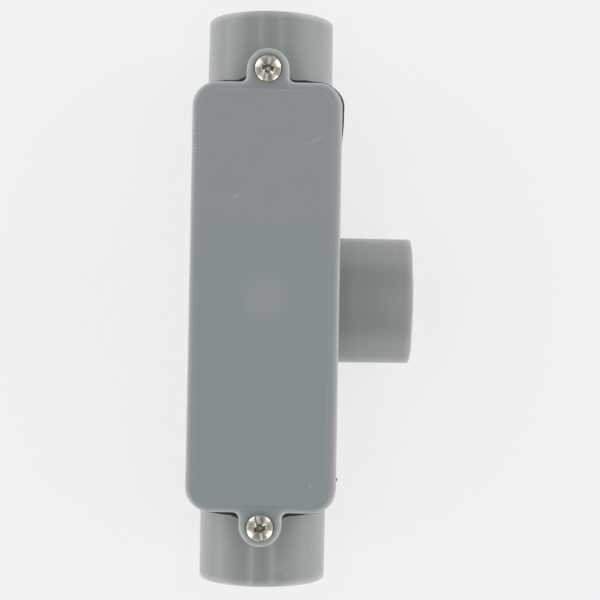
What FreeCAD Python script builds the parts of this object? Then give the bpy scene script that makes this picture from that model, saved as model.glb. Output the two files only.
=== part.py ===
import FreeCAD, Part
import math
import os
import Sketcher

# Type-T conduit body for 3/4 inch rigid PVC conduit, lying on its flat back.
# +Z is the cover's normal, +Y runs along the run hubs and +X points out of the branch hub.
# The origin is on the back face, under the crossing of the hub axes. Sizes in millimetres.

SIZES = {
    # Conduit sockets and the hubs around them
    "conduit_diameter": 26.67,
    "socket_play": 0.115,
    "socket_depth": 20.5,
    "socket_lead_in": 0.6,
    "throat_diameter": 21.0,
    "throat_round": 1.5,
    "hub_mouth_diameter": 34.4,
    "hub_root_diameter": 34.6,
    "hub_mouth_round": 0.6,
    "hub_axis_height": 17.5,
    "run_length": 153.6,
    "branch_reach": 39.55,
    # Trough between the hubs
    "box_length": 111.0,
    "rim_width": 38.4,
    "back_width": 37.2,
    "rim_height": 40.0,
    "wall": 3.0,
    "inner_draft": 1.0,
    "back_round": 10.0,
    "end_round": 5.0,
    "pocket_end_round": 2.0,
    # Screw bosses over the run hubs
    "screw_spacing": 119.0,
    "screw_shift": -0.27,
    "boss_radius": 5.2,
    "pilot_diameter": 3.56,
    "pilot_depth": 7.8,
    # Cover
    "cover_length": 112.0,
    "cover_width": 39.12,
    "cover_thickness": 3.0,
    "cover_corner": 6.5,
    "cover_edge_round": 1.5,
    "field_inset": 1.8,
    "field_rise": 0.12,
    "field_bevel": 0.1,
    "core_inset": 4.5,
    "core_depth": 0.8,
    "core_corner": 3.0,
    "ear_radius": 5.6,
    "ear_spacing": 118.5,
    "ear_root_round": 1.6,
    "ear_hole_diameter": 4.2,
    "spot_face_diameter": 7.6,
    "spot_face_depth": 0.4,
    # Gasket
    "gasket_thickness": 1.4,
    "gasket_length": 112.1,
    "gasket_width": 39.0,
    "gasket_corner": 6.2,
    "gasket_ear_radius": 5.3,
    "gasket_root_round": 1.6,
    "gasket_hole_diameter": 4.6,
    "gasket_bulge": 1.15,
    "gasket_bulge_reach": 13.0,
    # Cover screws
    "head_diameter": 6.8,
    "head_height": 2.0,
    "head_side": 0.9,
    "slot_width": 1.25,
    "slot_depth": 1.25,
    "cross_width": 1.25,
    "cross_span": 3.6,
    "cross_depth": 1.7,
    "shank_diameter": 3.44,
    "screw_reach": 11.1,
    "screw_point": 1.2,
    "upper_slot_turn": -9.0,
    "lower_slot_turn": 11.0,
}

FULL_TURN = 360
RIGHT_ANGLE = math.pi / 2
CUT_OVERRUN = "1"
NEAR = 1e-4
BOX_SLACK = 1e-3

SOCKET_RADIUS = "(Sizes.conduit_diameter / 2 + Sizes.socket_play)"
THROAT_RADIUS = "Sizes.throat_diameter / 2"
MOUTH_RADIUS = "Sizes.hub_mouth_diameter / 2"
ROOT_RADIUS = "Sizes.hub_root_diameter / 2"
RUN_MOUTH = "Sizes.run_length / 2"
RUN_STOP = "(Sizes.run_length / 2 - Sizes.socket_depth)"
RUN_CUT_END = f"(Sizes.run_length / 2 + {CUT_OVERRUN})"
BRANCH_STOP = "(Sizes.branch_reach - Sizes.socket_depth)"
BRANCH_CUT_END = f"(Sizes.branch_reach + {CUT_OVERRUN})"
BOX_END = "Sizes.box_length / 2"
RIM_SIDE = "Sizes.rim_width / 2"
BACK_SIDE = "Sizes.back_width / 2"
BOSS_PLACE = "Sizes.screw_spacing / 2"
UPPER_SCREW = f"({BOSS_PLACE} + Sizes.screw_shift)"
LOWER_SCREW = f"(Sizes.screw_shift - {BOSS_PLACE})"
EAR_PLACE = "Sizes.ear_spacing / 2"
COVER_SEAT = "(Sizes.rim_height + Sizes.gasket_thickness)"
SCREW_SEAT = f"({COVER_SEAT} + Sizes.cover_thickness - Sizes.spot_face_depth)"

doc = FreeCAD.newDocument("conduit_body")
sheet = doc.addObject("Spreadsheet::Sheet", "Sizes")


def fill_sheet():
    """Write every driving dimension as an aliased cell."""
    for row, (alias, number) in enumerate(SIZES.items(), start=1):
        sheet.set(f"A{row}", alias)
        sheet.set(f"B{row}", str(number))
        sheet.setAlias(f"B{row}", alias)
    doc.recompute()


def measure(expression):
    """Present value of an expression over the sheet."""
    return float(sheet.evalExpression(expression))


def new_body(label):
    body = doc.addObject("PartDesign::Body", label)
    body.Label = label
    return body


def new_sketch(body, name, plane, lift=None):
    """Empty sketch on one of the body's origin planes, lifted along the plane's normal."""
    sketch = body.newObject("Sketcher::SketchObject", name)
    support = next(item for item in body.Origin.OriginFeatures if item.Role == plane)
    sketch.AttachmentSupport = [(support, "")]
    sketch.MapMode = "FlatFace"
    if lift:
        sketch.setExpression("AttachmentOffset.Base.z", lift)
    return sketch


def pin(sketch, kind, geometry, point, expression):
    """Bind one coordinate of a point to the sheet; a zero lies on the sketch's own axis."""
    vertical_axis, horizontal_axis, root, root_point = -2, -1, -1, 1
    if expression == "0":
        axis = vertical_axis if kind == "DistanceX" else horizontal_axis
        sketch.addConstraint(Sketcher.Constraint("PointOnObject", geometry, point, axis))
        return
    size = measure(expression)
    index = sketch.addConstraint(
        Sketcher.Constraint(kind, root, root_point, geometry, point, size))
    sketch.setExpression(f"Constraints[{index}]", expression)


def add_outline(sketch, corners):
    """Closed straight-sided outline whose corners are pairs of expressions."""
    spots = [FreeCAD.Vector(measure(x), measure(y), 0) for x, y in corners]
    first = sketch.GeometryCount
    count = len(spots)
    for index in range(count):
        line = Part.LineSegment(spots[index], spots[(index + 1) % count])
        sketch.addGeometry(line, False)
    for index, (x, y) in enumerate(corners):
        line = first + index
        following = first + (index + 1) % count
        sketch.addConstraint(Sketcher.Constraint("Coincident", line, 2, following, 1))
        pin(sketch, "DistanceX", line, 1, x)
        pin(sketch, "DistanceY", line, 1, y)


def add_circle(sketch, x, y, radius):
    centre = FreeCAD.Vector(measure(x), measure(y), 0)
    circle = Part.Circle(centre, FreeCAD.Vector(0, 0, 1), measure(radius))
    index = sketch.addGeometry(circle, False)
    pin(sketch, "DistanceX", index, 3, x)
    pin(sketch, "DistanceY", index, 3, y)
    size = sketch.addConstraint(Sketcher.Constraint("Radius", index, measure(radius)))
    sketch.setExpression(f"Constraints[{size}]", radius)


def add_tongue(sketch, radius, root, centre):
    """Straight-sided tongue from y = root to a round end about (0, centre)."""
    side = measure(radius)
    near = measure(root)
    far = measure(centre)
    start = 0 if far > 0 else math.pi
    middle = FreeCAD.Vector(0, far, 0)
    circle = Part.Circle(middle, FreeCAD.Vector(0, 0, 1), side)
    arc = sketch.addGeometry(Part.ArcOfCircle(circle, start, start + math.pi), False)
    left, right = (2, 1) if far > 0 else (1, 2)
    corners = {
        "right_root": FreeCAD.Vector(side, near, 0),
        "right_end": FreeCAD.Vector(side, far, 0),
        "left_end": FreeCAD.Vector(-side, far, 0),
        "left_root": FreeCAD.Vector(-side, near, 0),
    }
    right_line = sketch.addGeometry(
        Part.LineSegment(corners["right_root"], corners["right_end"]), False)
    left_line = sketch.addGeometry(
        Part.LineSegment(corners["left_end"], corners["left_root"]), False)
    root_line = sketch.addGeometry(
        Part.LineSegment(corners["left_root"], corners["right_root"]), False)
    for first, first_point, second, second_point in (
            (right_line, 2, arc, right),
            (arc, left, left_line, 1),
            (left_line, 2, root_line, 1),
            (root_line, 2, right_line, 1)):
        joint = Sketcher.Constraint("Coincident", first, first_point, second, second_point)
        sketch.addConstraint(joint)
    pin(sketch, "DistanceX", arc, 3, "0")
    pin(sketch, "DistanceY", arc, 3, centre)
    pin(sketch, "DistanceX", right_line, 1, radius)
    pin(sketch, "DistanceY", right_line, 1, root)
    pin(sketch, "DistanceX", right_line, 2, radius)
    pin(sketch, "DistanceY", right_line, 2, centre)
    pin(sketch, "DistanceX", left_line, 2, f"-{radius}")
    pin(sketch, "DistanceY", left_line, 1, centre)
    sketch.addConstraint(Sketcher.Constraint("Horizontal", root_line))


def add_round_box(sketch, half_width, half_length, corner):
    """Rectangle about the sketch's origin with one radius at its four corners."""
    flat_x = f"({half_width} - {corner})"
    flat_y = f"({half_length} - {corner})"
    sides = [
        ((f"-{flat_x}", f"-{half_length}"), (flat_x, f"-{half_length}")),
        ((half_width, f"-{flat_y}"), (half_width, flat_y)),
        ((flat_x, half_length), (f"-{flat_x}", half_length)),
        ((f"-{half_width}", flat_y), (f"-{half_width}", f"-{flat_y}")),
    ]
    radius = measure(corner)
    centres = [(flat_x, f"-{flat_y}"), (flat_x, flat_y),
               (f"-{flat_x}", flat_y), (f"-{flat_x}", f"-{flat_y}")]
    lines = []
    for ends in sides:
        start, end = (FreeCAD.Vector(measure(x), measure(y), 0) for x, y in ends)
        lines.append(sketch.addGeometry(Part.LineSegment(start, end), False))
        for point, (x, y) in enumerate(ends, start=1):
            pin(sketch, "DistanceX", lines[-1], point, x)
            pin(sketch, "DistanceY", lines[-1], point, y)
    for index, (x, y) in enumerate(centres):
        centre = FreeCAD.Vector(measure(x), measure(y), 0)
        circle = Part.Circle(centre, FreeCAD.Vector(0, 0, 1), radius)
        start = (index - 1) * RIGHT_ANGLE
        arc = sketch.addGeometry(Part.ArcOfCircle(circle, start, start + RIGHT_ANGLE), False)
        following = lines[(index + 1) % len(lines)]
        sketch.addConstraint(Sketcher.Constraint("Coincident", lines[index], 2, arc, 1))
        sketch.addConstraint(Sketcher.Constraint("Coincident", arc, 2, following, 1))
        size = sketch.addConstraint(Sketcher.Constraint("Radius", arc, radius))
        sketch.setExpression(f"Constraints[{size}]", corner)


def add_channel(sketch, half_width, top, bottom, corner, draft):
    """Channel section: sides lean out by the draft and meet the floor in tangent arcs."""
    side, high, low, radius = (measure(item) for item in (half_width, top, bottom, corner))
    lean = math.radians(measure(draft))
    heel = side - (high - low) * math.tan(lean)
    trim = radius / math.tan((RIGHT_ANGLE + lean) / 2)
    flat = heel - trim
    shoulder = heel + trim * math.sin(lean)
    shoulder_height = low + trim * math.cos(lean)
    floor = sketch.addGeometry(
        Part.LineSegment(FreeCAD.Vector(-flat, low, 0), FreeCAD.Vector(flat, low, 0)), False)
    mouth = sketch.addGeometry(
        Part.LineSegment(FreeCAD.Vector(-side, high, 0), FreeCAD.Vector(side, high, 0)), False)
    sketch.addConstraint(Sketcher.Constraint("Horizontal", floor))
    pin(sketch, "DistanceY", floor, 1, bottom)
    for end, sign, turn in ((1, -1, math.pi + lean), (2, 1, -RIGHT_ANGLE)):
        wall = sketch.addGeometry(Part.LineSegment(
            FreeCAD.Vector(sign * shoulder, shoulder_height, 0),
            FreeCAD.Vector(sign * side, high, 0)), False)
        centre = FreeCAD.Vector(sign * flat, low + radius, 0)
        circle = Part.Circle(centre, FreeCAD.Vector(0, 0, 1), radius)
        arc = sketch.addGeometry(
            Part.ArcOfCircle(circle, turn, turn + RIGHT_ANGLE - lean), False)
        at_floor, at_wall = (1, 2) if sign > 0 else (2, 1)
        sketch.addConstraint(Sketcher.Constraint("Tangent", floor, end, arc, at_floor))
        sketch.addConstraint(Sketcher.Constraint("Tangent", arc, at_wall, wall, 1))
        sketch.addConstraint(Sketcher.Constraint("Coincident", wall, 2, mouth, end))
        pin(sketch, "DistanceX", wall, 2, half_width if sign > 0 else f"-{half_width}")
        pin(sketch, "DistanceY", wall, 2, top)
        size = sketch.addConstraint(Sketcher.Constraint("Radius", arc, radius))
        sketch.setExpression(f"Constraints[{size}]", corner)
        slope = sketch.addConstraint(
            Sketcher.Constraint("Angle", wall, RIGHT_ANGLE - sign * lean))
        sketch.setExpression(f"Constraints[{slope}]", f"90 - {sign} * {draft}")


def box_corners(half_width, half_length):
    return [
        (f"-{half_width}", f"-{half_length}"),
        (half_width, f"-{half_length}"),
        (half_width, half_length),
        (f"-{half_width}", half_length),
    ]


def extruded(body, kind, name, sketch, length, symmetric=False):
    """Pad or Pocket of a sketch; a pocket that cuts nothing is an error."""
    feature = body.newObject(f"PartDesign::{kind}", name)
    feature.Profile = (sketch, [""])
    feature.setExpression("Length", length)
    if symmetric:
        feature.SideType = "Symmetric"
    return checked(feature, kind == "Pocket")


def turned(body, kind, name, sketch, axis):
    """Revolution or Groove of a sketch about one of its own axes."""
    feature = body.newObject(f"PartDesign::{kind}", name)
    feature.Profile = (sketch, [""])
    feature.ReferenceAxis = (sketch, [axis])
    feature.Angle = FULL_TURN
    return checked(feature, kind == "Groove")


def drilled(body, name, sketch, diameter, depth=None, face_diameter=None, face_depth=None):
    """Plain hole, through all unless a depth is given, with an optional spot face."""
    doc.recompute()
    hole = body.newObject("PartDesign::Hole", name)
    hole.Profile = (sketch, [""])
    hole.ThreadType = "None"
    hole.DrillPoint = "Flat"
    hole.DepthType = "Dimension" if depth else "ThroughAll"
    hole.setExpression("Diameter", diameter)
    if depth:
        hole.setExpression("Depth", depth)
    if face_diameter:
        hole.HoleCutType = "Counterbore"
        hole.HoleCutCustomValues = True
        hole.setExpression("HoleCutDiameter", face_diameter)
        hole.setExpression("HoleCutDepth", face_depth)
    return checked(hole, True)


def rounded(body, name, wanted, size, kind="Fillet"):
    """Fillet, or chamfer, the edges of the body's tip that the test picks out."""
    base = body.Tip
    picked = [f"Edge{number}" for number, edge in enumerate(base.Shape.Edges, start=1)
              if not edge.Degenerated and wanted(edge)]
    if not picked:
        raise ValueError(f"{name}: no edge found")
    feature = body.newObject(f"PartDesign::{kind}", name)
    feature.Base = (base, picked)
    feature.setExpression("Radius" if kind == "Fillet" else "Size", size)
    return checked(feature, False)


def checked(feature, cuts):
    doc.recompute()
    if "Invalid" in feature.State or "Error" in feature.State:
        raise ValueError(f"{feature.Name}: {feature.getStatusString()}")
    if cuts and feature.Shape.Volume >= feature.BaseFeature.Shape.Volume - NEAR:
        raise ValueError(f"{feature.Name} cuts nothing")
    return feature


def same(first, second):
    return abs(first - second) < NEAR


def flat_in(edge, axis, place):
    """True for an edge that lies wholly at one place along an axis."""
    span = edge.BoundBox
    low = getattr(span, f"{axis}Min")
    high = getattr(span, f"{axis}Max")
    return abs(low - place) < BOX_SLACK and abs(high - place) < BOX_SLACK


def straight_along(edge, axis):
    """True for a straight edge parallel to an axis."""
    if edge.Curve.TypeId != "Part::GeomLine":
        return False
    return same(abs(getattr(edge.tangentAt(edge.FirstParameter), axis)), 1)


def ring(edge, radius):
    """True for a full circle of a given radius."""
    if edge.Curve.TypeId != "Part::GeomCircle" or not edge.isClosed():
        return False
    return same(edge.Curve.Radius, radius)


def at_branch_throat(edge):
    """True for the curved edges where the branch throat opens through the trough's side."""
    span = edge.BoundBox
    reach = measure(THROAT_RADIUS) + BOX_SLACK
    height = measure("Sizes.hub_axis_height")
    in_wall = 0 < span.XMin and span.XMax < measure(f"{RIM_SIDE} - Sizes.wall")
    in_throat = max(span.YMax, -span.YMin, span.ZMax - height, height - span.ZMin) < reach
    return in_wall and in_throat and edge.Curve.TypeId != "Part::GeomLine"


def at_mouth(edge):
    """True for a circle that lies in one of the three hub mouths."""
    mouth = measure(RUN_MOUTH)
    reach = measure("Sizes.branch_reach")
    return flat_in(edge, "Y", mouth) or flat_in(edge, "Y", -mouth) or flat_in(edge, "X", reach)


def add_trough(body):
    """Outer trough: a drafted section with a rounded back and rounded ends."""
    section = new_sketch(body, "trough_section", "XZ_Plane")
    add_outline(section, [
        (f"-{BACK_SIDE}", "0"),
        (BACK_SIDE, "0"),
        (RIM_SIDE, "Sizes.rim_height"),
        (f"-{RIM_SIDE}", "Sizes.rim_height"),
    ])
    extruded(body, "Pad", "trough", section, "Sizes.box_length", symmetric=True)
    rounded(body, "back_edges",
            lambda edge: straight_along(edge, "y") and flat_in(edge, "Z", 0),
            "Sizes.back_round")
    end = measure(BOX_END)
    rim = measure("Sizes.rim_height")
    rounded(body, "end_edges",
            lambda edge: (flat_in(edge, "Y", end) or flat_in(edge, "Y", -end))
            and not flat_in(edge, "Z", rim),
            "Sizes.end_round")


def add_hubs(body):
    """Run hubs as one spindle through the trough, and the branch hub beside it."""
    run = new_sketch(body, "run_hub_profile", "XY_Plane", "Sizes.hub_axis_height")
    add_outline(run, [
        ("0", f"-{RUN_MOUTH}"),
        (MOUTH_RADIUS, f"-{RUN_MOUTH}"),
        (ROOT_RADIUS, f"-{BOX_END}"),
        (ROOT_RADIUS, BOX_END),
        (MOUTH_RADIUS, RUN_MOUTH),
        ("0", RUN_MOUTH),
    ])
    turned(body, "Revolution", "run_hubs", run, "V_Axis")
    branch = new_sketch(body, "branch_hub_profile", "XY_Plane", "Sizes.hub_axis_height")
    add_outline(branch, [
        ("0", "0"),
        ("Sizes.branch_reach", "0"),
        ("Sizes.branch_reach", MOUTH_RADIUS),
        (RIM_SIDE, ROOT_RADIUS),
        ("0", ROOT_RADIUS),
    ])
    turned(body, "Revolution", "branch_hub", branch, "H_Axis")


def add_bosses(body):
    """Screw bosses that stand on the run hubs and run into the trough's end walls."""
    plan = new_sketch(body, "boss_plan", "XY_Plane", "Sizes.hub_axis_height")
    root = f"({BOX_END} - Sizes.wall / 2)"
    add_tongue(plan, "Sizes.boss_radius", root, BOSS_PLACE)
    add_tongue(plan, "Sizes.boss_radius", f"-{root}", f"-{BOSS_PLACE}")
    extruded(body, "Pad", "bosses", plan, "Sizes.rim_height - Sizes.hub_axis_height")


def hollow_trough(body):
    """Wiring space, open at the rim."""
    section = new_sketch(body, "wiring_section", "XZ_Plane")
    add_channel(section, f"({RIM_SIDE} - Sizes.wall)", "Sizes.rim_height", "Sizes.wall",
                "Sizes.back_round - Sizes.wall", "Sizes.inner_draft")
    extruded(body, "Pocket", "wiring_space", section,
             "Sizes.box_length - 2 * Sizes.wall", symmetric=True)
    end = measure(f"{BOX_END} - Sizes.wall")
    rim = measure("Sizes.rim_height")
    rounded(body, "wiring_end_edges",
            lambda edge: (flat_in(edge, "Y", end) or flat_in(edge, "Y", -end))
            and not flat_in(edge, "Z", rim),
            "Sizes.pocket_end_round")


def bore_hubs(body):
    """Stepped bores: socket, stop shoulder and throat, with rounded throat and mouth."""
    run = new_sketch(body, "run_bore_profile", "XY_Plane", "Sizes.hub_axis_height")
    add_outline(run, [
        ("0", f"-{RUN_CUT_END}"),
        (SOCKET_RADIUS, f"-{RUN_CUT_END}"),
        (SOCKET_RADIUS, f"-{RUN_STOP}"),
        (THROAT_RADIUS, f"-{RUN_STOP}"),
        (THROAT_RADIUS, RUN_STOP),
        (SOCKET_RADIUS, RUN_STOP),
        (SOCKET_RADIUS, RUN_CUT_END),
        ("0", RUN_CUT_END),
    ])
    turned(body, "Groove", "run_bores", run, "V_Axis")
    branch = new_sketch(body, "branch_bore_profile", "XY_Plane", "Sizes.hub_axis_height")
    add_outline(branch, [
        ("0", "0"),
        (BRANCH_CUT_END, "0"),
        (BRANCH_CUT_END, SOCKET_RADIUS),
        (BRANCH_STOP, SOCKET_RADIUS),
        (BRANCH_STOP, THROAT_RADIUS),
        ("0", THROAT_RADIUS),
    ])
    turned(body, "Groove", "branch_bore", branch, "H_Axis")
    socket = measure(SOCKET_RADIUS)
    mouth = measure(MOUTH_RADIUS)
    rounded(body, "socket_lead_ins",
            lambda edge: ring(edge, socket) and at_mouth(edge),
            "Sizes.socket_lead_in", kind="Chamfer")
    rounded(body, "hub_mouth_edges",
            lambda edge: ring(edge, mouth) and at_mouth(edge),
            "Sizes.hub_mouth_round")
    throat = measure(THROAT_RADIUS)
    end = measure(f"{BOX_END} - Sizes.wall")
    rounded(body, "run_throat_edges",
            lambda edge: ring(edge, throat)
            and (flat_in(edge, "Y", end) or flat_in(edge, "Y", -end)),
            "Sizes.throat_round")
    rounded(body, "branch_throat_edge", at_branch_throat, "Sizes.throat_round")


def drill_bosses(body):
    """Blind pilot holes, a little off the bosses' centres as the screws are."""
    spots = new_sketch(body, "pilot_spots", "XY_Plane", "Sizes.rim_height")
    for place in (UPPER_SCREW, LOWER_SCREW):
        add_circle(spots, "0", place, "Sizes.pilot_diameter / 2")
    drilled(body, "pilot_holes", spots, "Sizes.pilot_diameter", "Sizes.pilot_depth")


def make_tee_body():
    body = new_body("tee_body")
    add_trough(body)
    add_hubs(body)
    add_bosses(body)
    hollow_trough(body)
    bore_hubs(body)
    drill_bosses(body)
    return body


def add_ears(body, radius, root, thickness):
    """An ear at each end of a flat plate."""
    plan = new_sketch(body, "ear_plan", "XY_Plane")
    add_tongue(plan, radius, root, EAR_PLACE)
    add_tongue(plan, radius, f"-{root}", f"-{EAR_PLACE}")
    extruded(body, "Pad", "ears", plan, thickness)


def make_cover():
    body = new_body("cover")
    body.setExpression("Placement.Base.z", COVER_SEAT)
    half_width = "Sizes.cover_width / 2"
    half_length = "Sizes.cover_length / 2"
    plan = new_sketch(body, "plate_plan", "XY_Plane")
    add_round_box(plan, half_width, half_length, "Sizes.cover_corner")
    extruded(body, "Pad", "plate", plan, "Sizes.cover_thickness")
    add_ears(body, "Sizes.ear_radius", f"({half_length} - Sizes.cover_corner)",
             "Sizes.cover_thickness")
    ear = measure("Sizes.ear_radius")
    end = measure(half_length)
    rounded(body, "ear_roots",
            lambda edge: straight_along(edge, "z")
            and same(abs(edge.Vertexes[0].X), ear) and same(abs(edge.Vertexes[0].Y), end),
            "Sizes.ear_root_round")
    top = measure("Sizes.cover_thickness")
    rounded(body, "plate_edge", lambda edge: flat_in(edge, "Z", top), "Sizes.cover_edge_round")

    field = new_sketch(body, "field_plan", "XY_Plane", "Sizes.cover_thickness")
    add_round_box(field, f"({half_width} - Sizes.field_inset)",
                  f"({half_length} - Sizes.field_inset)",
                  "(Sizes.cover_corner - Sizes.field_inset)")
    extruded(body, "Pad", "field", field, "Sizes.field_rise")
    face = measure("Sizes.cover_thickness + Sizes.field_rise")
    rounded(body, "field_edge", lambda edge: flat_in(edge, "Z", face),
            "Sizes.field_bevel", kind="Chamfer")

    core = new_sketch(body, "core_plan", "XY_Plane", "Sizes.core_depth")
    add_round_box(core, f"({half_width} - Sizes.core_inset)",
                  f"({half_length} - Sizes.core_inset)", "Sizes.core_corner")
    extruded(body, "Pocket", "underside_core", core, "Sizes.core_depth")

    spots = new_sketch(body, "screw_spots", "XY_Plane", "Sizes.cover_thickness")
    for place in (BOSS_PLACE, f"-{BOSS_PLACE}"):
        add_circle(spots, "0", place, "Sizes.ear_hole_diameter / 2")
    drilled(body, "screw_holes", spots, "Sizes.ear_hole_diameter",
            face_diameter="Sizes.spot_face_diameter", face_depth="Sizes.spot_face_depth")
    return body


def make_gasket():
    """Soft ring on the rim; it bulges out beside the ears."""
    body = new_body("cover_gasket")
    body.setExpression("Placement.Base.z", "Sizes.rim_height")
    half_width = "Sizes.gasket_width / 2"
    half_length = "Sizes.gasket_length / 2"
    bulge = f"({half_length} + Sizes.gasket_bulge)"
    ear = "Sizes.gasket_ear_radius"
    reach = "Sizes.gasket_bulge_reach"
    plan = new_sketch(body, "ring_plan", "XY_Plane")
    add_outline(plan, [
        (half_width, f"-{half_length}"),
        (half_width, half_length),
        (reach, half_length),
        (ear, bulge),
        (f"-{ear}", bulge),
        (f"-{reach}", half_length),
        (f"-{half_width}", half_length),
        (f"-{half_width}", f"-{half_length}"),
        (f"-{reach}", f"-{half_length}"),
        (f"-{ear}", f"-{bulge}"),
        (ear, f"-{bulge}"),
        (reach, f"-{half_length}"),
    ])
    extruded(body, "Pad", "ring", plan, "Sizes.gasket_thickness")
    side = measure(half_width)
    rounded(body, "ring_corners",
            lambda edge: straight_along(edge, "z") and same(abs(edge.Vertexes[0].X), side),
            "Sizes.gasket_corner")
    add_ears(body, ear, f"({half_length} - Sizes.wall / 2)", "Sizes.gasket_thickness")
    ear_side = measure(ear)
    ear_root = measure(bulge)
    rounded(body, "ear_roots",
            lambda edge: straight_along(edge, "z") and same(abs(edge.Vertexes[0].X), ear_side)
            and same(abs(edge.Vertexes[0].Y), ear_root),
            "Sizes.gasket_root_round")
    opening = new_sketch(body, "opening_plan", "XY_Plane", "Sizes.gasket_thickness")
    add_round_box(opening, f"({RIM_SIDE} - Sizes.wall)", f"({BOX_END} - Sizes.wall)",
                  "Sizes.pocket_end_round")
    extruded(body, "Pocket", "opening", opening, "Sizes.gasket_thickness")
    spots = new_sketch(body, "eye_spots", "XY_Plane", "Sizes.gasket_thickness")
    for place in (BOSS_PLACE, f"-{BOSS_PLACE}"):
        add_circle(spots, "0", place, "Sizes.gasket_hole_diameter / 2")
    drilled(body, "eyes", spots, "Sizes.gasket_hole_diameter")
    return body


def add_screw_blank(body):
    """Turned blank: point, shank, flat bearing face and domed head."""
    shank = "Sizes.shank_diameter / 2"
    head = "Sizes.head_diameter / 2"
    tip = f"({shank} - Sizes.screw_point / 2)"
    profile = new_sketch(body, "blank_profile", "XZ_Plane")
    corners = [
        ("0", "Sizes.head_height"),
        ("0", "-Sizes.screw_reach"),
        (tip, "-Sizes.screw_reach"),
        (shank, "-(Sizes.screw_reach - Sizes.screw_point)"),
        (shank, "0"),
        (head, "0"),
        (head, "Sizes.head_side"),
    ]
    spots = [FreeCAD.Vector(measure(x), measure(y), 0) for x, y in corners]
    for start, end in zip(spots, spots[1:]):
        profile.addGeometry(Part.LineSegment(start, end), False)
    crown = measure("Sizes.head_height - Sizes.head_side")
    radius = (measure(head) ** 2 + crown ** 2) / (2 * crown)
    centre = FreeCAD.Vector(0, measure("Sizes.head_height") - radius, 0)
    dome_circle = Part.Circle(centre, FreeCAD.Vector(0, 0, 1), radius)
    low = dome_circle.parameter(spots[-1])
    high = dome_circle.parameter(spots[0])
    dome = profile.addGeometry(Part.ArcOfCircle(dome_circle, low, high), False)
    for index in range(dome - 1):
        profile.addConstraint(Sketcher.Constraint("Coincident", index, 2, index + 1, 1))
    profile.addConstraint(Sketcher.Constraint("Coincident", dome - 1, 2, dome, 1))
    profile.addConstraint(Sketcher.Constraint("Coincident", dome, 2, 0, 1))
    profile.addConstraint(Sketcher.Constraint("PointOnObject", dome, 3, -2))
    for index, (x, y) in enumerate(corners[:-1]):
        pin(profile, "DistanceX", index, 1, x)
        pin(profile, "DistanceY", index, 1, y)
    pin(profile, "DistanceX", dome - 1, 2, corners[-1][0])
    pin(profile, "DistanceY", dome - 1, 2, corners[-1][1])
    turned(body, "Revolution", "blank", profile, "V_Axis")


def add_recess(body):
    """Slot across the whole head, and a deeper cross in its middle."""
    slot = new_sketch(body, "slot_plan", "XY_Plane", "Sizes.head_height")
    add_outline(slot, box_corners("Sizes.slot_width / 2", "Sizes.head_diameter"))
    extruded(body, "Pocket", "slot", slot, "Sizes.slot_depth")
    arm = "Sizes.cross_span / 2"
    half = "Sizes.cross_width / 2"
    cross = new_sketch(body, "cross_plan", "XY_Plane", "Sizes.head_height")
    add_outline(cross, [
        (half, half),
        (half, arm),
        (f"-{half}", arm),
        (f"-{half}", half),
        (f"-{arm}", half),
        (f"-{arm}", f"-{half}"),
        (f"-{half}", f"-{half}"),
        (f"-{half}", f"-{arm}"),
        (half, f"-{arm}"),
        (half, f"-{half}"),
        (arm, f"-{half}"),
        (arm, half),
    ])
    extruded(body, "Pocket", "cross", cross, "Sizes.cross_depth")


def make_screw(label, place, turn):
    body = new_body(label)
    body.Placement.Rotation = FreeCAD.Rotation(FreeCAD.Vector(0, 0, 1), 1)
    body.setExpression("Placement.Rotation.Angle", turn)
    body.setExpression("Placement.Base.y", place)
    body.setExpression("Placement.Base.z", SCREW_SEAT)
    add_screw_blank(body)
    add_recess(body)
    return body


def write_parts(bodies):
    """Write one file per sub-part, once every object of the document is sound."""
    doc.recompute()
    for item in doc.Objects:
        if "Invalid" in item.State or "Error" in item.State:
            raise ValueError(f"{item.Name}: {item.getStatusString()}")
    for body in bodies:
        if body.Shape.isNull() or not body.Shape.isValid() or len(body.Shape.Solids) != 1:
            raise ValueError(f"{body.Label} is not one sound solid")
    os.makedirs("parts", exist_ok=True)
    for body in bodies:
        body.Shape.exportStep(f"parts/{body.Label}.step")
        box = body.Shape.BoundBox
        print(f"{body.Label}: volume {body.Shape.Volume:.1f}, "
              f"x {box.XMin:.2f} to {box.XMax:.2f}, y {box.YMin:.2f} to {box.YMax:.2f}, "
              f"z {box.ZMin:.2f} to {box.ZMax:.2f}")


fill_sheet()
write_parts([
    make_tee_body(),
    make_cover(),
    make_gasket(),
    make_screw("upper_cover_screw", UPPER_SCREW, "Sizes.upper_slot_turn"),
    make_screw("lower_cover_screw", LOWER_SCREW, "Sizes.lower_slot_turn"),
])
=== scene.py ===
import math

import bmesh
import bpy
from mathutils import Euler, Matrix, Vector


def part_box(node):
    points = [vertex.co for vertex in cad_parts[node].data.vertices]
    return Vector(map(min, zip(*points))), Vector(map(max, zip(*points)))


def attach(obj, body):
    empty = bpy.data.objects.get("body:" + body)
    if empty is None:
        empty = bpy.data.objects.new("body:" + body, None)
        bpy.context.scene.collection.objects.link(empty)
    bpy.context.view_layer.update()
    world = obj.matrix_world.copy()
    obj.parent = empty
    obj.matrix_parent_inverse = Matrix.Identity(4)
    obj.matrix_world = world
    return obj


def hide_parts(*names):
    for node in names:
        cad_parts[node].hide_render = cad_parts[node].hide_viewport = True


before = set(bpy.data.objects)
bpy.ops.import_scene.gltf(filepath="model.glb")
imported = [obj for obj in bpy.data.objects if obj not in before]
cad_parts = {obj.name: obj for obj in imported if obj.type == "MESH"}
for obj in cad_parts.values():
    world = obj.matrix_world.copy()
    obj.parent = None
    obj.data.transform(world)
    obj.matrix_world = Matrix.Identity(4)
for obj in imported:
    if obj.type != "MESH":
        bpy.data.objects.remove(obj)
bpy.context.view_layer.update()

MM = 0.001
FULL_TURN = 2 * math.pi
MERGE_GAP = 0.001 * MM

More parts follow.
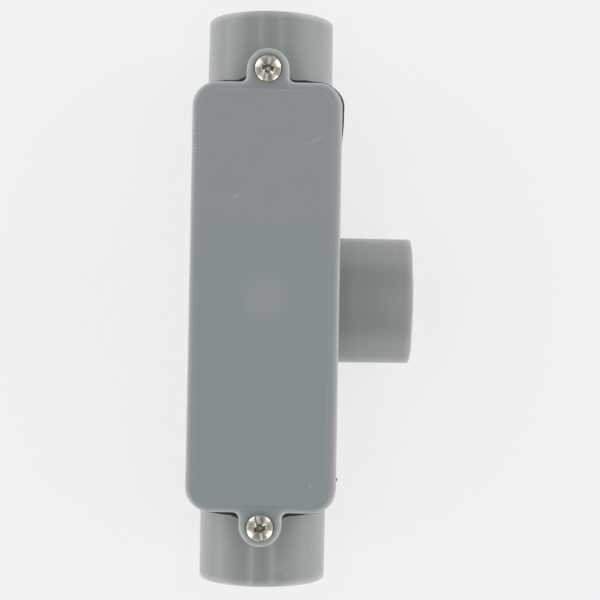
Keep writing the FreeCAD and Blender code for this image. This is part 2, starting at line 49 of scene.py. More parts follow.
# Viewpoint: almost straight down on the cover, in the photograph's square frame
VIEW_AIM = Vector((9.303, -0.145, 17.5)) * MM
VIEW_TURN = Euler((math.radians(1.238), math.radians(0.103), math.radians(1.017)))
VIEW_DISTANCE = 380 * MM
VIEW_NEAR = 10 * MM
SENSOR = 36.0
LENS = 81.84

# Body, in millimetres: its far corner, the height of the hub axes and a hub's radius at its mouth
BODY_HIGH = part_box("tee_body")[1] / MM
HUB_HEIGHT = 17.5
HUB_RADIUS = 17.2

# Far corner of the cover, in millimetres
COVER_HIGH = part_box("cover")[1] / MM

# Pan head of the screws, in millimetres above the seat
SCREW_LOW, SCREW_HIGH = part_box("upper_cover_screw")
HEAD_RADIUS = (SCREW_HIGH.x - SCREW_LOW.x) / 2 / MM
HEAD_HEIGHT = 2.0
HEAD_SIDE = 0.9
HEAD_STEPS = 96
HEAD_EDGE = 0.06
EDGE_ANGLE = math.radians(40)
DOME_STEPS = 10
DOME_RISE = HEAD_HEIGHT - HEAD_SIDE
DOME_RADIUS = (HEAD_RADIUS ** 2 + DOME_RISE ** 2) / (2 * DOME_RISE)
SMOOTH_ANGLE = math.radians(35)

# Slot and cross recess: a taper is the lower width as a share of the upper one
SLOT_WIDTH = 1.25
SLOT_DEPTH = 1.25
SLOT_TAPER = 0.9
CROSS_SPAN = 3.6
CROSS_DEPTH = 1.7
SPAN_TAPER = 0.45
ARM_TAPER = 0.8
CUT_ABOVE = 0.1

# Shank of the screws, with one turn of its thread as radii at shares of the pitch
SHANK_REACH = 11.1
POINT_LENGTH = 1.2
POINT_RADIUS = 0.45
NECK_RADIUS = 1.28
NECK_LENGTH = 0.7
CORE_RADIUS = 1.32
CREST_RADIUS = 1.7
CREST_ROOM = 0.02
THREAD_PITCH = 1.27
THREAD_STEPS = 40
SPARE_TURNS = 2
THREAD_TURN = [
    (CORE_RADIUS, 0),
    (CORE_RADIUS, 0.4),
    (CREST_RADIUS, 0.66),
    (CREST_RADIUS, 0.74),
    (CORE_RADIUS, 1),
]

# How far each screw is turned in its seat
SCREW_TURNS = {"upper": math.radians(-9), "lower": math.radians(11)}

# Rubber gasket, in millimetres
GASKET_GRAIN = 0.28
GASKET_SMOOTHING = 3
GASKET_SWELL = 0.1
GASKET_LUMPS = 0.1
LUMP_SIZE = 5

# Stretches where the rubber creeps out from under the cover:
# middle of the stretch, half its width and length, push and fade
GASKET_CREEP = [
    ((11.6, 57.0), (1.4, 1.6), (0.0, 0.4), 3.4),
    ((17.5, 54.0), (1.5, 2.0), (0.16, 0.24), 5.0),
    ((19.4, 47.8), (0.5, 1.2), (0.45, 0.05), 8.0),
    ((-6.2, 56.8), (0.6, 0.6), (-0.25, 0.25), 1.2),
    ((-12.4, 56.6), (0.9, 1.5), (0.0, 0.35), 2.8),
    ((-6.2, -56.8), (0.6, 0.6), (-0.28, -0.28), 1.3),
    ((-11.5, -56.6), (1.5, 1.5), (0.0, -0.25), 4.0),
    ((19.4, -47.4), (0.5, 0.3), (0.28, 0.0), 0.5),
    ((6.2, -56.8), (0.6, 0.6), (0.1, -0.12), 1.2),
    ((11.5, -56.6), (1.5, 1.5), (0.0, -0.22), 5.0),
]

# Sockets of a Mix node that carry colours
MIX_FIRST, MIX_SECOND, MIX_RESULT = 6, 7, 2


class Wire:
    """A node's output; numbers can be worked with in Python arithmetic."""

    def __init__(self, shader, socket):
        self.shader = shader
        self.socket = socket

    def math(self, operation, other, swapped=False):
        first, second = (other, self) if swapped else (self, other)
        return self.shader.add("ShaderNodeMath", {"operation": operation}, {0: first, 1: second})

    def __add__(self, other):
        return self.math("ADD", other)

    __radd__ = __add__

    def __sub__(self, other):
        return self.math("SUBTRACT", other)

    def __rsub__(self, other):
        return self.math("SUBTRACT", other, swapped=True)

    def __mul__(self, other):
        return self.math("MULTIPLY", other)

    __rmul__ = __mul__

    def __truediv__(self, other):
        return self.math("DIVIDE", other)

    def __pow__(self, other):
        return self.math("POWER", other)

    def __neg__(self):
        return self.math("MULTIPLY", -1.0)

    def __abs__(self):
        return self.math("ABSOLUTE", 0.0)


class Shader:
    """The node tree of a material or of the world, filled by add()."""

    def __init__(self, owner):
        self.owner = owner
        owner.use_nodes = True
        self.tree = owner.node_tree
        self.tree.nodes.clear()

    def add(self, kind, settings=None, sockets=None, output=0):
        """Make a node: its settings are set first, then its sockets get values or wires."""
        node = self.tree.nodes.new(kind)
        for name, value in (settings or {}).items():
            setattr(node, name, value)
        for key, value in (sockets or {}).items():
            socket = node.inputs[key]
            if isinstance(value, Wire):
                self.tree.links.new(value.socket, socket)
            else:
                socket.default_value = value
        return Wire(self, node.outputs[output]) if len(node.outputs) else node

    def place(self):
        """Object coordinates as one vector, in metres."""
        return self.add("ShaderNodeTexCoord", output="Object")

    def split(self, vector, unit=MM):
        """The three parts of a vector, measured in a unit."""
        return [self.add("ShaderNodeSeparateXYZ", None, {0: vector}, output=axis) / unit
                for axis in range(3)]

    def noise(self, vector, size, detail=2.0, roughness=0.5):
        """Soft random values between 0 and 1, with lumps of about this size in millimetres."""
        return self.add("ShaderNodeTexNoise", None, {
            "Vector": vector,
            "Scale": 1 / (size * MM),
            "Detail": detail,
            "Roughness": roughness,
        })

    def step(self, value, low, high):
        """0 below low, 1 above high and smooth between them."""
        return self.add("ShaderNodeMapRange", {"interpolation_type": "SMOOTHSTEP"}, {
            "Value": value, "From Min": low, "From Max": high})

    def mix(self, factor, first, second):
        """A colour between two colours."""
        colours = {MIX_FIRST: first, MIX_SECOND: second}
        sockets = {key: colour if isinstance(colour, Wire) else (*colour, 1)
                   for key, colour in colours.items()}
        return self.add("ShaderNodeMix", {"data_type": "RGBA"}, {0: factor, **sockets},
                        output=MIX_RESULT)

    def bump(self, height, distance, strength=1.0):
        return self.add("ShaderNodeBump", None, {
            "Height": height, "Distance": distance * MM, "Strength": strength})

    def surface(self, **sockets):
        return self.add("ShaderNodeBsdfPrincipled", None, {
            name.replace("_", " "): value for name, value in sockets.items()})

    def finish(self, surface):
        kind = "World" if isinstance(self.owner, bpy.types.World) else "Material"
        self.add("ShaderNodeOutput" + kind, None, {"Surface": surface})
        return self.owner


def new_material(name):
    return Shader(bpy.data.materials.new(name))


# Masks, in millimetres: shares of a scratch's length and width, from its middle, where it fades
STROKE_ENDS = (0.3, 0.55)
STROKE_CORE = 0.2


def length(first, second):
    """Length of the longest side of a right triangle."""
    return (first ** 2.0 + second ** 2.0) ** 0.5


def stroke(shader, x, y, start, end, width):
    """Mask of a straight scratch between two places, thin at its ends."""
    run = Vector(end) - Vector(start)
    along = run.normalized()
    ahead = (x - start[0]) * along.x + (y - start[1]) * along.y
    aside = (y - start[1]) * along.x - (x - start[0]) * along.y
    from_middle = abs(ahead - run.length / 2) / run.length
    reach = 1 - shader.step(from_middle, *STROKE_ENDS)
    return reach * (1 - shader.step(abs(aside), width * STROKE_CORE, width))


def spot(shader, x, y, centre, inner, outer):
    """Mask of a round spot that fades from its inner to its outer radius."""
    return 1 - shader.step(length(x - centre[0], y - centre[1]), inner, outer)


def beyond_outline(x, y, reach, corner):
    """Distance out of a rectangle with rounded corners, given half its width and length."""
    aside = (abs(x) - (reach[0] - corner)).math("MAXIMUM", 0.0)
    ahead = (abs(y) - (reach[1] - corner)).math("MAXIMUM", 0.0)
    return length(aside, ahead) - corner


# Greys of the body and the sizes of its flow clouds and its skin
BODY_GREYS = ((0.2625, 0.278, 0.279), (0.2775, 0.293, 0.2935))
# Pale grey of the painted highlights on the hubs' rims, branch and sides
HUB_HIGHLIGHT_GREY = (0.45, 0.448, 0.428)
CHIPPED_GREY = (0.42, 0.43, 0.43)
FLOW_CLOUDS = 14
BODY_SKIN = 0.7

# Painted highlights on the hubs and how much: rims of the mouths, the branch, sides of the run hubs
RIM_FADE = (HUB_RADIUS - 1.2, HUB_RADIUS - 0.5)
RIM_DEPTH = 2.3
BRANCH_REACH = (BODY_HIGH.x - 18, BODY_HIGH.x)
BRANCH_LIGHT_SHARE = 0.18
HUB_SIDE = (12.5, 15.5)
HUB_START = (56, 58)
SIDE_HIGHLIGHT_SHARE = 0.15

# A chip in the branch hub and a patchy scuff on the lower hub, both on the upper side
HUB_TOP = (HUB_HEIGHT, HUB_HEIGHT + 2)
BRANCH_CHIP = (35.0, 13.5)
CHIP_FADE = (0.15, 0.5)
CHIP_SHARE = 0.4
LOWER_SCUFF = (5.6, -71.6)
SCUFF_FADE = (0.8, 3.6)
SCUFF_SHARE = 0.24
SCUFF_PATCHES = 1.6
SCUFF_GAPS = (0.25, 0.7)


def moulded_pvc():
    """Semi-gloss grey of the body: faint flow clouds, a fine skin, painted highlights on the hubs, a
    chip and a scuff.
    """
    shader = new_material("moulded_pvc")
    place = shader.place()
    x, y, z = shader.split(place)
    cloud = shader.noise(place, FLOW_CLOUDS, detail=3)
    skin = shader.noise(place, BODY_SKIN, detail=3, roughness=0.6)
    colour = shader.mix(cloud, *BODY_GREYS)
    from_mouth = (BODY_HIGH.y - abs(y)).math("MINIMUM", BODY_HIGH.x - x)
    from_axis = length(abs(x).math("MINIMUM", abs(y)), z - HUB_HEIGHT)
    # Painted highlights: pale rims at the mouths, a paler branch towards its mouth, paler sides of the
    # run hubs
    rim_highlight = shader.step(from_axis, *RIM_FADE) * (1 - shader.step(from_mouth, 0, RIM_DEPTH))
    colour = shader.mix(rim_highlight, colour, HUB_HIGHLIGHT_GREY)
    colour = shader.mix(BRANCH_LIGHT_SHARE * shader.step(x, *BRANCH_REACH), colour, HUB_HIGHLIGHT_GREY)
    side_highlight = shader.step(abs(x), *HUB_SIDE) * shader.step(abs(y), *HUB_START)
    colour = shader.mix(SIDE_HIGHLIGHT_SHARE * side_highlight, colour, HUB_HIGHLIGHT_GREY)
    on_top = shader.step(z, *HUB_TOP)
    chipped = spot(shader, x, y, BRANCH_CHIP, *CHIP_FADE) * on_top
    colour = shader.mix(CHIP_SHARE * chipped, colour, CHIPPED_GREY)
    patchy = shader.step(shader.noise(place, SCUFF_PATCHES), *SCUFF_GAPS)
    scuffed = spot(shader, x, y, LOWER_SCUFF, *SCUFF_FADE) * on_top * patchy
    colour = shader.mix(SCUFF_SHARE * scuffed, colour, CHIPPED_GREY)
    return shader.finish(shader.surface(
        Base_Color=colour,
        Roughness=0.22 + 0.06 * cloud,
        IOR=1.62,
        Normal=shader.bump(skin, distance=0.02, strength=0.35),
    ))


# Greys of the cover from its lower to its upper end, its clouds and grain, and the gate blush
COVER_GREYS = ((0.244, 0.282, 0.291), (0.270, 0.287, 0.308))
GREY_CHANGE = (-20, 60)
CLOUD_GREY = (0.243, 0.272, 0.285)
CLOUD_SHARE = 0.5
COVER_CLOUDS = 9
COVER_GRAIN = 0.35
BLUSH_GREY = (0.293, 0.309, 0.333)
BLUSH_PLACE = (0.3, -0.1)
BLUSH_FADE = (1.5, 8.5)
BLUSH_SHARE = 0.7

# Raised field of the cover, drawn as a painted highlight along its outline; the line fades out towards
# the lower end
FIELD_REACH = (17.2, 53.7)
FIELD_CORNER = 4.4
FIELD_SHIFT = 0.3
FIELD_HIGHLIGHT_GREY = (0.36, 0.37, 0.37)
LINE_WIDTH = (0.08, 0.4)
LINE_START = (-52, -44)
FIELD_HIGHLIGHT_SHARE = 0.2

# Painted shade on the ears, darkest around the screws
EAR_SHADE_GREY = (0.11, 0.118, 0.122)
EAR_START = (FIELD_REACH[1] - 0.2, FIELD_REACH[1] + 1.0)
EAR_FADE = (54.5, 61)
EAR_SIDES = (3, 6)
EAR_PLACE = 59.25
EAR_SEAT = (3.6, 5.0)
EAR_SHADE_SHARE = 0.24
SEAT_SHADE_SHARE = 0.2

# Edge of the cover, by depths below its top: the field, the step around it, the round and the side
FIELD_DEPTH = (0.04, 0.1)
STEP_DEPTH = (0.1, 0.14)
ROUND_DEPTH = (0.14, 0.5)
OUTER_EDGE_DEPTH = (0.45, 0.8)
SIDE_DEPTH = (1.6, 2.0)
# Painted highlights on the cover's rounded edge, its outermost part and its right side
EDGE_HIGHLIGHT_GREY = (0.37, 0.375, 0.365)
EDGE_HIGHLIGHT_SHARE = 0.35
OUTER_EDGE_HIGHLIGHT_GREY = (0.48, 0.49, 0.485)
OUTER_EDGE_HIGHLIGHT_SHARE = 0.5
RIGHT_EDGE = (COVER_HIGH.x - 2.5, COVER_HIGH.x - 1.6)
RIGHT_EDGE_HIGHLIGHT_GREY = (0.42, 0.385, 0.365)
RIGHT_EDGE_HIGHLIGHT_SHARE = 0.2

# Scratches on the cover: start, end and width, broken by bare patches
SCRATCH_GREY = (0.42, 0.45, 0.46)
SCRATCH_PATCHES = 0.9
SCRATCH_GAPS = (0.2, 0.6)
SCRATCH_SHARE = 0.5
COVER_SCRATCHES = [
    ((9.2, 39.95), (11.6, 40.15), 0.2),
    ((11.4, 40.1), (13.2, 41.2), 0.22),
    ((12.8, 41.2), (15.0, 41.95), 0.18),
    ((-9.1, 24.4), (-7.1, 26.7), 0.42),
    ((12.4, -47.9), (13.3, -49.6), 0.3),
    ((-19.4, 42.0), (-17.6, 42.0), 0.25),
    ((-19.4, 38.2), (-17.5, 38.25), 0.3),
    ((-19.4, 37.3), (-17.5, 37.35), 0.2),
]


def grained_pvc():
    """Matte bluish grey of the cover: fine grain, a gate blush, painted shade on the ears, scratches
    and painted highlights on its edges and the field's outline.
    """
    shader = new_material("grained_pvc")
    place = shader.place()
    x, y, z = shader.split(place)
    grain = shader.noise(place, COVER_GRAIN, roughness=0.6)
    cloud = shader.noise(place, COVER_CLOUDS, detail=3)
    colour = shader.mix(shader.step(y, *GREY_CHANGE), *COVER_GREYS)
    colour = shader.mix(CLOUD_SHARE * cloud, colour, CLOUD_GREY)
    blush = spot(shader, x, y, BLUSH_PLACE, *BLUSH_FADE) * (0.6 + 0.8 * cloud)
    colour = shader.mix(BLUSH_SHARE * blush, colour, BLUSH_GREY)
    # Painted highlight along the outline of the raised field
    from_line = abs(beyond_outline(x + FIELD_SHIFT, y, FIELD_REACH, FIELD_CORNER))
    line = (1 - shader.step(from_line, *LINE_WIDTH)) * shader.step(y, *LINE_START)
    colour = shader.mix(FIELD_HIGHLIGHT_SHARE * line, colour, FIELD_HIGHLIGHT_GREY)
    # Painted shade on the ears, darkest around the screws
    end_wise = abs(y)
    ear_shade = shader.step(end_wise, *EAR_START) * (1 - shader.step(end_wise, *EAR_FADE))
    ear_shade = ear_shade * (1 - shader.step(abs(x), *EAR_SIDES))
    shade_by_screw = spot(shader, x, end_wise, (0, EAR_PLACE), *EAR_SEAT)
    colour = shader.mix(ear_shade * (EAR_SHADE_SHARE + SEAT_SHADE_SHARE * shade_by_screw), colour, EAR_SHADE_GREY)
    scratched = 0.0
    for start, end, width in COVER_SCRATCHES:
        scratched = scratched + stroke(shader, x, y, start, end, width)
    patchy = shader.step(shader.noise(place, SCRATCH_PATCHES), *SCRATCH_GAPS)
    colour = shader.mix(SCRATCH_SHARE * scratched * patchy, colour, SCRATCH_GREY)
    # Painted highlights on the cover's rounded edge, its outermost part and its right side
    below = COVER_HIGH.z - z
    above_side = 1 - shader.step(below, *SIDE_DEPTH)
    rounded = shader.step(below, *STEP_DEPTH) + shader.step(below, *ROUND_DEPTH)
    colour = shader.mix(EDGE_HIGHLIGHT_SHARE * rounded * above_side, colour, EDGE_HIGHLIGHT_GREY)
    colour = shader.mix(RIGHT_EDGE_HIGHLIGHT_SHARE * shader.step(x, *RIGHT_EDGE), colour, RIGHT_EDGE_HIGHLIGHT_GREY)
    outer_highlight = shader.step(below, *OUTER_EDGE_DEPTH) * above_side
    colour = shader.mix(OUTER_EDGE_HIGHLIGHT_SHARE * outer_highlight, colour, OUTER_EDGE_HIGHLIGHT_GREY)
    field = 1 - shader.step(below, *FIELD_DEPTH)
    return shader.finish(shader.surface(
        Base_Color=colour,
        Roughness=0.36 + 0.16 * field + 0.1 * grain,
        Normal=shader.bump(grain * (0.25 + 0.75 * field), distance=0.03, strength=0.4),
    ))


# Blacks of the rubber, and the sizes of its dust and its pores
RUBBER_BLACKS = ((0.008, 0.008, 0.009), (0.026, 0.026, 0.027))
RUBBER_DUST = 1.5
RUBBER_PORES = 0.3


def black_rubber():
    """Matte black with a little dust in its skin."""
    shader = new_material("black_rubber")
    place = shader.place()
    dust = shader.noise(place, RUBBER_DUST, detail=4, roughness=0.65)
    return shader.finish(shader.surface(
        Base_Color=shader.mix(dust, *RUBBER_BLACKS),
        Roughness=0.62 + 0.2 * dust,
        Normal=shader.bump(shader.noise(place, RUBBER_PORES), distance=0.03, strength=0.5),
    ))


# Tones of the plating, of the film and painted glint, of the grime and painted shade, and the sizes of
# their patches
PLATE_TONES = ((0.60, 0.57, 0.49), (0.47, 0.44, 0.375))
FILM_AND_GLINT_TONE = (0.95, 0.92, 0.84)
GRIME_AND_SHADE_TONE = (0.075, 0.063, 0.046)
GRIME_AND_SHADE_SHARE = 0.85
TARNISH_PATCHES = 0.9
CRUST_LUMPS = 0.55
CRUST_GAPS = (0.3, 0.65)
PLATE_WAVES = 0.6

# Where film, painted glint, grime and painted shade lie on a screw's head, with depths below the dome
HEAD_START = (0.0, 0.2)
CROSS_STRETCH = 0.65
CROSS_FADE = (0.9, 1.4)
CROSS_GRIME_AND_SHADE = (0.1, 0.45)
SLOT_CORNER = (SLOT_WIDTH / 2 - 0.2, SLOT_WIDTH / 2 - 0.06)
CORNER_SHADE_DEPTH = (0.1, 0.3)
FLOOR_FILM_AND_SHEEN = (0.3, 0.5)
PIT_FADE = (0.1, 0.95)
PIT_DEPTH = (1.2, 1.5)
PIT_GLINT = {"upper": 0.9, "lower": 0.4}


def bright_plate(end, seat):
    """Warm plating of one screw: a dull film on the slot's floor that is partly a painted reflection, a
    painted glint deep in the recess, and grime with painted shade in the recess and corners.
    """
    shader = new_material(f"bright_plate_{end}")
    place = shader.place()
    local = shader.add("ShaderNodeMapping", {"vector_type": "TEXTURE"}, {
        "Vector": place, "Location": seat, "Rotation": (0, 0, SCREW_TURNS[end])})
    across, along, height = shader.split(local)
    from_axis = length(across, along)
    sunk = HEAD_HEIGHT - height - from_axis ** 2.0 / (2 * DOME_RADIUS)
    on_head = shader.step(height, *HEAD_START)
    in_cross = 1 - shader.step(length(CROSS_STRETCH * across, along), *CROSS_FADE)
    # Painted glint at the bottom of the cross recess
    pit_glint = PIT_GLINT[end] * (1 - shader.step(from_axis, *PIT_FADE)) * shader.step(sunk, *PIT_DEPTH)
    # Painted shade along the slot's corners
    corner = shader.step(abs(across), *SLOT_CORNER) * shader.step(sunk, *CORNER_SHADE_DEPTH)
    tarnish = shader.noise(place, TARNISH_PATCHES, detail=4, roughness=0.6)
    lumps = shader.noise(place, CRUST_LUMPS, detail=3, roughness=0.6)
    crust = shader.step(lumps, *CRUST_GAPS)
    # Grime and painted shade in the recess and the slot's corners; the film on the slot's floor is
    # partly a painted reflection
    grime_and_shade = (in_cross * shader.step(sunk, *CROSS_GRIME_AND_SHADE)).math("MAXIMUM", corner)
    grime_and_shade = on_head * grime_and_shade * (1 - pit_glint) * (0.45 + 0.55 * crust)
    film_and_glint = on_head * shader.step(sunk, *FLOOR_FILM_AND_SHEEN) * (1 - corner) * (1 - in_cross) + pit_glint
    plate = shader.mix(film_and_glint, shader.mix(tarnish, *PLATE_TONES), FILM_AND_GLINT_TONE)
    return shader.finish(shader.surface(
        Base_Color=shader.mix(GRIME_AND_SHADE_SHARE * grime_and_shade, plate, GRIME_AND_SHADE_TONE),
        Metallic=1 - 0.7 * grime_and_shade - 0.65 * film_and_glint,
        Roughness=0.2 + 0.12 * tarnish + 0.3 * grime_and_shade + 0.3 * film_and_glint,
        Anisotropic=0.8,
        Anisotropic_Rotation=0.25,
        Normal=shader.bump(shader.noise(place, PLATE_WAVES, detail=3), distance=0.02, strength=0.5),
    ))


# Modelling by hand


def select_only(piece):
    bpy.ops.object.select_all(action="DESELECT")
    piece.select_set(True)
    bpy.context.view_layer.objects.active = piece


def open_mesh(piece):
    select_only(piece)
    bpy.ops.object.mode_set(mode="EDIT")


def close_mesh():
    bpy.ops.object.mode_set(mode="OBJECT")


def modify(piece, kind, **settings):
    modifier = piece.modifiers.new(kind, kind)
    for name, value in settings.items():
        setattr(modifier, name, value)
    select_only(piece)
    bpy.ops.object.modifier_apply(modifier=modifier.name)


def combine(piece, other, operation):
    """Boolean of two solids; the second one is used up."""
    modify(piece, "BOOLEAN", operation=operation, object=other, solver="EXACT")
    bpy.data.objects.remove(other)


def merge_all():
    """In edit mode: select everything and merge what coincides."""
    bpy.ops.mesh.select_all(action="SELECT")
    bpy.ops.mesh.remove_doubles(threshold=MERGE_GAP)


def tidy_mesh():
    """In edit mode: merge what coincides and turn every face outwards."""
    merge_all()
    bpy.ops.mesh.normals_make_consistent(inside=False)


def draw_line(name, points):
    """A chain of edges through (radius, height) points in millimetres, beside the Z axis."""
    bpy.ops.object.select_all(action="DESELECT")
    bpy.ops.mesh.primitive_plane_add(size=MM)
    line = bpy.context.object
    line.name = name
    places = [Vector((radius, 0, height)) * MM for radius, height in points]
    open_mesh(line)
    bpy.ops.mesh.select_all(action="SELECT")
    bpy.ops.mesh.merge(type="CENTER")
    bpy.ops.transform.translate(value=places[0])
    for here, there in zip(places, places[1:]):
        bpy.ops.mesh.extrude_region_move(TRANSFORM_OT_translate={"value": there - here})
    close_mesh()
    return line


def turned_solid(name, points):
    """A solid of revolution about the Z axis; its outline starts and ends on the axis."""
    solid = draw_line(name, points)
    open_mesh(solid)
    bpy.ops.mesh.select_all(action="SELECT")
    bpy.ops.mesh.spin(steps=HEAD_STEPS, angle=FULL_TURN, center=(0, 0, 0), axis=(0, 0, 1))
    tidy_mesh()
    close_mesh()
    return solid


def tapered_cutter(size, top, taper):
    """A block centred on the Z axis whose lower face is narrowed by a factor each way."""
    bpy.ops.object.select_all(action="DESELECT")
    bpy.ops.mesh.primitive_cube_add(size=MM)
    block = bpy.context.object
    block.name = "cutter"
    open_mesh(block)
    bpy.ops.mesh.select_all(action="SELECT")
    bpy.ops.transform.resize(value=size)
    mesh = bmesh.from_edit_mesh(block.data)
    for face in mesh.faces:
        face.select_set(face.normal.z < -0.5)
    bmesh.update_edit_mesh(block.data)
    bpy.ops.transform.resize(value=(*taper, 1))
    bpy.ops.mesh.select_all(action="SELECT")
    bpy.ops.transform.translate(value=(0, 0, (top - size[2] / 2) * MM))
    close_mesh()
    return block


def screw_head():
    """Pan head with its neck; a slot across the dome and a tapered cross recess in the middle."""
    reach = math.asin(HEAD_RADIUS / DOME_RADIUS)
    slopes = [reach * (1 - step / DOME_STEPS) for step in range(DOME_STEPS + 1)]
    dome = [(DOME_RADIUS * math.sin(slope), HEAD_HEIGHT - DOME_RADIUS * (1 - math.cos(slope)))
            for slope in slopes]
    foot = [(0, -NECK_LENGTH), (NECK_RADIUS, -NECK_LENGTH), (NECK_RADIUS, 0), (HEAD_RADIUS, 0)]
    head = turned_solid("screw_head", foot + dome)
    slot_depth = SLOT_DEPTH + CUT_ABOVE
    cross_depth = CROSS_DEPTH + CUT_ABOVE
    cuts = [
        ((SLOT_WIDTH, 3 * HEAD_RADIUS, slot_depth), (SLOT_TAPER, 1)),
        ((CROSS_SPAN, SLOT_WIDTH, cross_depth), (SPAN_TAPER, ARM_TAPER)),
        ((SLOT_WIDTH, CROSS_SPAN, cross_depth), (ARM_TAPER, SPAN_TAPER)),
    ]
    for size, taper in cuts:
        combine(head, tapered_cutter(size, HEAD_HEIGHT + CUT_ABOVE, taper), "DIFFERENCE")
    modify(head, "BEVEL", width=HEAD_EDGE * MM, segments=2, limit_method="ANGLE",
           angle_limit=EDGE_ANGLE)
    return head


def screw_thread():
    """Threaded shank: one turn of the thread wound up the shank, trimmed to a point and a neck."""
    bottom = -SHANK_REACH - SPARE_TURNS * THREAD_PITCH
    rod = draw_line("thread", [(radius, bottom + share * THREAD_PITCH)
                               for radius, share in THREAD_TURN])
    turns = math.ceil(SHANK_REACH / THREAD_PITCH) + 2 * SPARE_TURNS
    modify(rod, "SCREW", angle=FULL_TURN, screw_offset=THREAD_PITCH * MM, iterations=turns,
           steps=THREAD_STEPS, render_steps=THREAD_STEPS, use_merge_vertices=True,
           merge_threshold=MERGE_GAP)
    open_mesh(rod)
    merge_all()
    bpy.ops.mesh.select_all(action="DESELECT")
    bpy.ops.mesh.select_non_manifold()
    bpy.ops.mesh.edge_face_add()
    tidy_mesh()
    close_mesh()
    crest = CREST_RADIUS + CREST_ROOM
    trim = turned_solid("thread_trim", [
        (0, -SHANK_REACH),
        (POINT_RADIUS, -SHANK_REACH),
        (crest, -SHANK_REACH + POINT_LENGTH),
        (crest, -2 * NECK_LENGTH),
        (NECK_RADIUS, -NECK_LENGTH),
        (NECK_RADIUS, HEAD_SIDE / 2),
        (0, HEAD_SIDE / 2),
    ])
    combine(rod, trim, "INTERSECT")
    return rod


def place_screw(pattern, end):
    """A copy of the screw in the place of a CAD screw."""
    node = end + "_cover_screw"
    low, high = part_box(node)
    seat = ((low.x + high.x) / 2, (low.y + high.y) / 2, low.z + SHANK_REACH * MM)
    screw = bpy.data.objects.new(end + "_pan_head_screw", pattern.data.copy())
    bpy.context.scene.collection.objects.link(screw)
    screw.location = seat
    screw.rotation_euler = (0, 0, SCREW_TURNS[end])
    select_only(screw)
    bpy.ops.object.transform_apply()
    screw.data.materials.append(bright_plate(end, seat))
    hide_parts(node)
    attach(screw, end + "_screw")


def make_screws():
    """One screw modelled at the origin and copied to both ends of the cover."""
    pattern = screw_head()
    combine(pattern, screw_thread(), "UNION")
    open_mesh(pattern)
    tidy_mesh()
    bpy.ops.mesh.quads_convert_to_tris(quad_method="BEAUTY", ngon_method="BEAUTY")
    close_mesh()
    bpy.ops.object.shade_smooth_by_angle(angle=SMOOTH_ANGLE)
    for end in SCREW_TURNS:
        place_screw(pattern, end)
    bpy.data.objects.remove(pattern)


def push_out(gasket, middle, reach, push, fade):
    """Push one stretch of the ring outwards, fading into what lies beside it."""
    open_mesh(gasket)
    mesh = bmesh.from_edit_mesh(gasket.data)
    for vertex in mesh.verts:
        place = vertex.co / MM
        vertex.select_set(abs(place.x - middle[0]) < reach[0] and abs(place.y - middle[1]) < reach[1])
    mesh.select_flush_mode()
    bmesh.update_edit_mesh(gasket.data)
    bpy.ops.transform.translate(value=Vector((*push, 0)) * MM, use_proportional_edit=True,
                                proportional_edit_falloff="SMOOTH", proportional_size=fade * MM)
    close_mesh()


def make_gasket():
    """Soft rubber ring with rounded, slightly uneven edges, in the form of the CAD ring."""
    gasket = bpy.data.objects.new("rim_gasket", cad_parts["cover_gasket"].data.copy())
    bpy.context.scene.collection.objects.link(gasket)
    open_mesh(gasket)
    merge_all()
    close_mesh()
    modify(gasket, "REMESH", mode="VOXEL", voxel_size=GASKET_GRAIN * MM)
    modify(gasket, "SMOOTH", factor=0.5, iterations=GASKET_SMOOTHING)
    modify(gasket, "DISPLACE", strength=GASKET_SWELL * MM, mid_level=0.0)
    lumps = bpy.data.textures.new("rubber_lumps", "CLOUDS")
    lumps.noise_scale = LUMP_SIZE * MM
    modify(gasket, "DISPLACE", texture=lumps, strength=GASKET_LUMPS * MM, mid_level=0.5,
           texture_coords="LOCAL")
    for stretch in GASKET_CREEP:
        push_out(gasket, *stretch)
    bpy.ops.object.shade_smooth()
    gasket.data.materials.clear()
    gasket.data.materials.append(black_rubber())
    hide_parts("cover_gasket")
    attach(gasket, "cover")


def dress(node, material):
    """Give a CAD node its finish."""
    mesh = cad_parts[node].data
    mesh.materials.clear()
    mesh.materials.append(material)


# Floor and background, in metres, and how its shade fades away from the object, in millimetres
FLOOR_WHITE = (0.925, 0.915, 0.918)
FLOOR_WIDTH = 4
FLOOR_DROP = 0.1 * MM
FLOOR_SHADE = 0.2
SHADE_FADE = (200, 800)

# Light level of the tent, what it loses overhead and at its ends and what it gains on the left,
# each with the part of its direction where it does
TENT_LEVEL = 1.43
ROOF_LOSS = 1.13
ROOF_RISE = (0.0, 0.78)
END_LOSS = 0.25
END_REACH = (0.5, 0.95)
LEFT_GAIN = 0.35
LEFT_REACH = (0.9, 0.98)

# Softboxes at the corners and strips overhead, in metres and degrees: azimuth of each side, then
# elevation and radiance of its softboxes, or the slant of its strip
SOFTBOX_DISTANCE = 0.7
SOFTBOX_SIZE = (0.36, 0.6)
SOFTBOXES = {"right": (0, 16, 2.25), "left": (180, 13, 2.35)}
SOFTBOX_SWINGS = {"back": 41, "front": -41}
STRIP_DISTANCE = 1.0
STRIP_SIZE = (0.55, 0.06)
STRIP_RADIANCE = 8.0
STRIPS = {"right": (0, 19.2), "left": (180, 17.3)}


def make_camera():
    data = bpy.data.cameras.new("camera")
    data.sensor_width = SENSOR
    data.lens = LENS
    data.clip_start = VIEW_NEAR
    camera = bpy.data.objects.new("camera", data)
    camera.location = VIEW_AIM + VIEW_TURN.to_matrix() @ Vector((0, 0, VIEW_DISTANCE))
    camera.rotation_euler = VIEW_TURN
    bpy.context.scene.collection.objects.link(camera)
    bpy.context.scene.camera = camera


def seen_directly(shader):
    """1 for rays from the viewpoint and those that mirror or pass on what is seen."""
    rays = [shader.add("ShaderNodeLightPath", output=name)
            for name in ("Is Camera Ray", "Is Glossy Ray", "Is Transmission Ray")]
    return rays[0].math("MAXIMUM", rays[1]).math("MAXIMUM", rays[2])


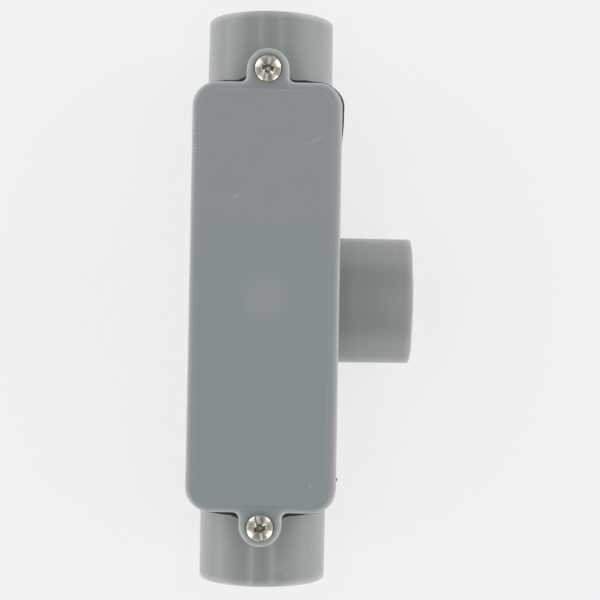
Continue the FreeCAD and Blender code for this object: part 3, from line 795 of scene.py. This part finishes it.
def make_floor():
    """White floor that keeps the object's shadow and runs evenly into the background."""
    bpy.ops.object.select_all(action="DESELECT")
    bpy.ops.mesh.primitive_plane_add(size=FLOOR_WIDTH, location=(0, 0, -FLOOR_DROP))
    floor = bpy.context.object
    floor.name = "floor"
    shader = new_material("floor_white")
    paper = shader.add("ShaderNodeBsdfDiffuse", None, {"Color": (*FLOOR_WHITE, 1)})
    glow = shader.add("ShaderNodeEmission", None, {"Color": (*FLOOR_WHITE, 1), "Strength": 1.0})
    x, y = shader.split(shader.place())[:2]
    shade = FLOOR_SHADE * (1 - shader.step(length(x, y), *SHADE_FADE))
    factor = seen_directly(shader) * (1 - shade)
    floor.data.materials.append(shader.finish(
        shader.add("ShaderNodeMixShader", None, {0: factor, 1: paper, 2: glow})))


def add_softbox(name, azimuth, elevation, distance, size, radiance):
    """A rectangular lamp that faces the object; azimuth 0 is towards +X."""
    data = bpy.data.lights.new(name, "AREA")
    data.shape = "RECTANGLE"
    data.size, data.size_y = size
    data.energy = radiance * math.pi * size[0] * size[1]
    lamp = bpy.data.objects.new(name, data)
    flat = math.cos(math.radians(elevation))
    towards = Vector((flat * math.cos(math.radians(azimuth)), flat * math.sin(math.radians(azimuth)),
                      math.sin(math.radians(elevation))))
    lamp.location = towards * distance
    lamp.rotation_euler = towards.to_track_quat("Z", "Y").to_euler()
    lamp.visible_camera = False
    bpy.context.scene.collection.objects.link(lamp)


def make_light():
    """A pale tent, darker overhead and at its ends, four softboxes at the corners and two strips."""
    shader = Shader(bpy.data.worlds.new("studio"))
    direction = shader.add("ShaderNodeTexCoord", output="Generated")
    x, y, z = shader.split(direction, unit=1.0)
    level = TENT_LEVEL - ROOF_LOSS * shader.step(z, *ROOF_RISE)
    level = level - END_LOSS * shader.step(abs(y), *END_REACH)
    level = level + LEFT_GAIN * shader.step(-x, *LEFT_REACH)
    tent = shader.add("ShaderNodeBackground", None, {"Color": (1, 1, 1, 1), "Strength": level})
    white = shader.add("ShaderNodeBackground", None, {"Color": (*FLOOR_WHITE, 1), "Strength": 1.0})
    camera_ray = shader.add("ShaderNodeLightPath", output="Is Camera Ray")
    bpy.context.scene.world = shader.finish(
        shader.add("ShaderNodeMixShader", None, {0: camera_ray, 1: tent, 2: white}))
    for side, (azimuth, elevation, radiance) in SOFTBOXES.items():
        for end, swing in SOFTBOX_SWINGS.items():
            add_softbox(f"softbox_{side}_{end}", azimuth + swing, elevation, SOFTBOX_DISTANCE,
                        SOFTBOX_SIZE, radiance)
    for side, (azimuth, slant) in STRIPS.items():
        add_softbox("strip_" + side, azimuth, 90 - slant, STRIP_DISTANCE, STRIP_SIZE, STRIP_RADIANCE)


bpy.context.scene.view_settings.view_transform = "Standard"
dress("tee_body", moulded_pvc())
dress("cover", grained_pvc())
make_gasket()
make_screws()
make_camera()
make_floor()
make_light()
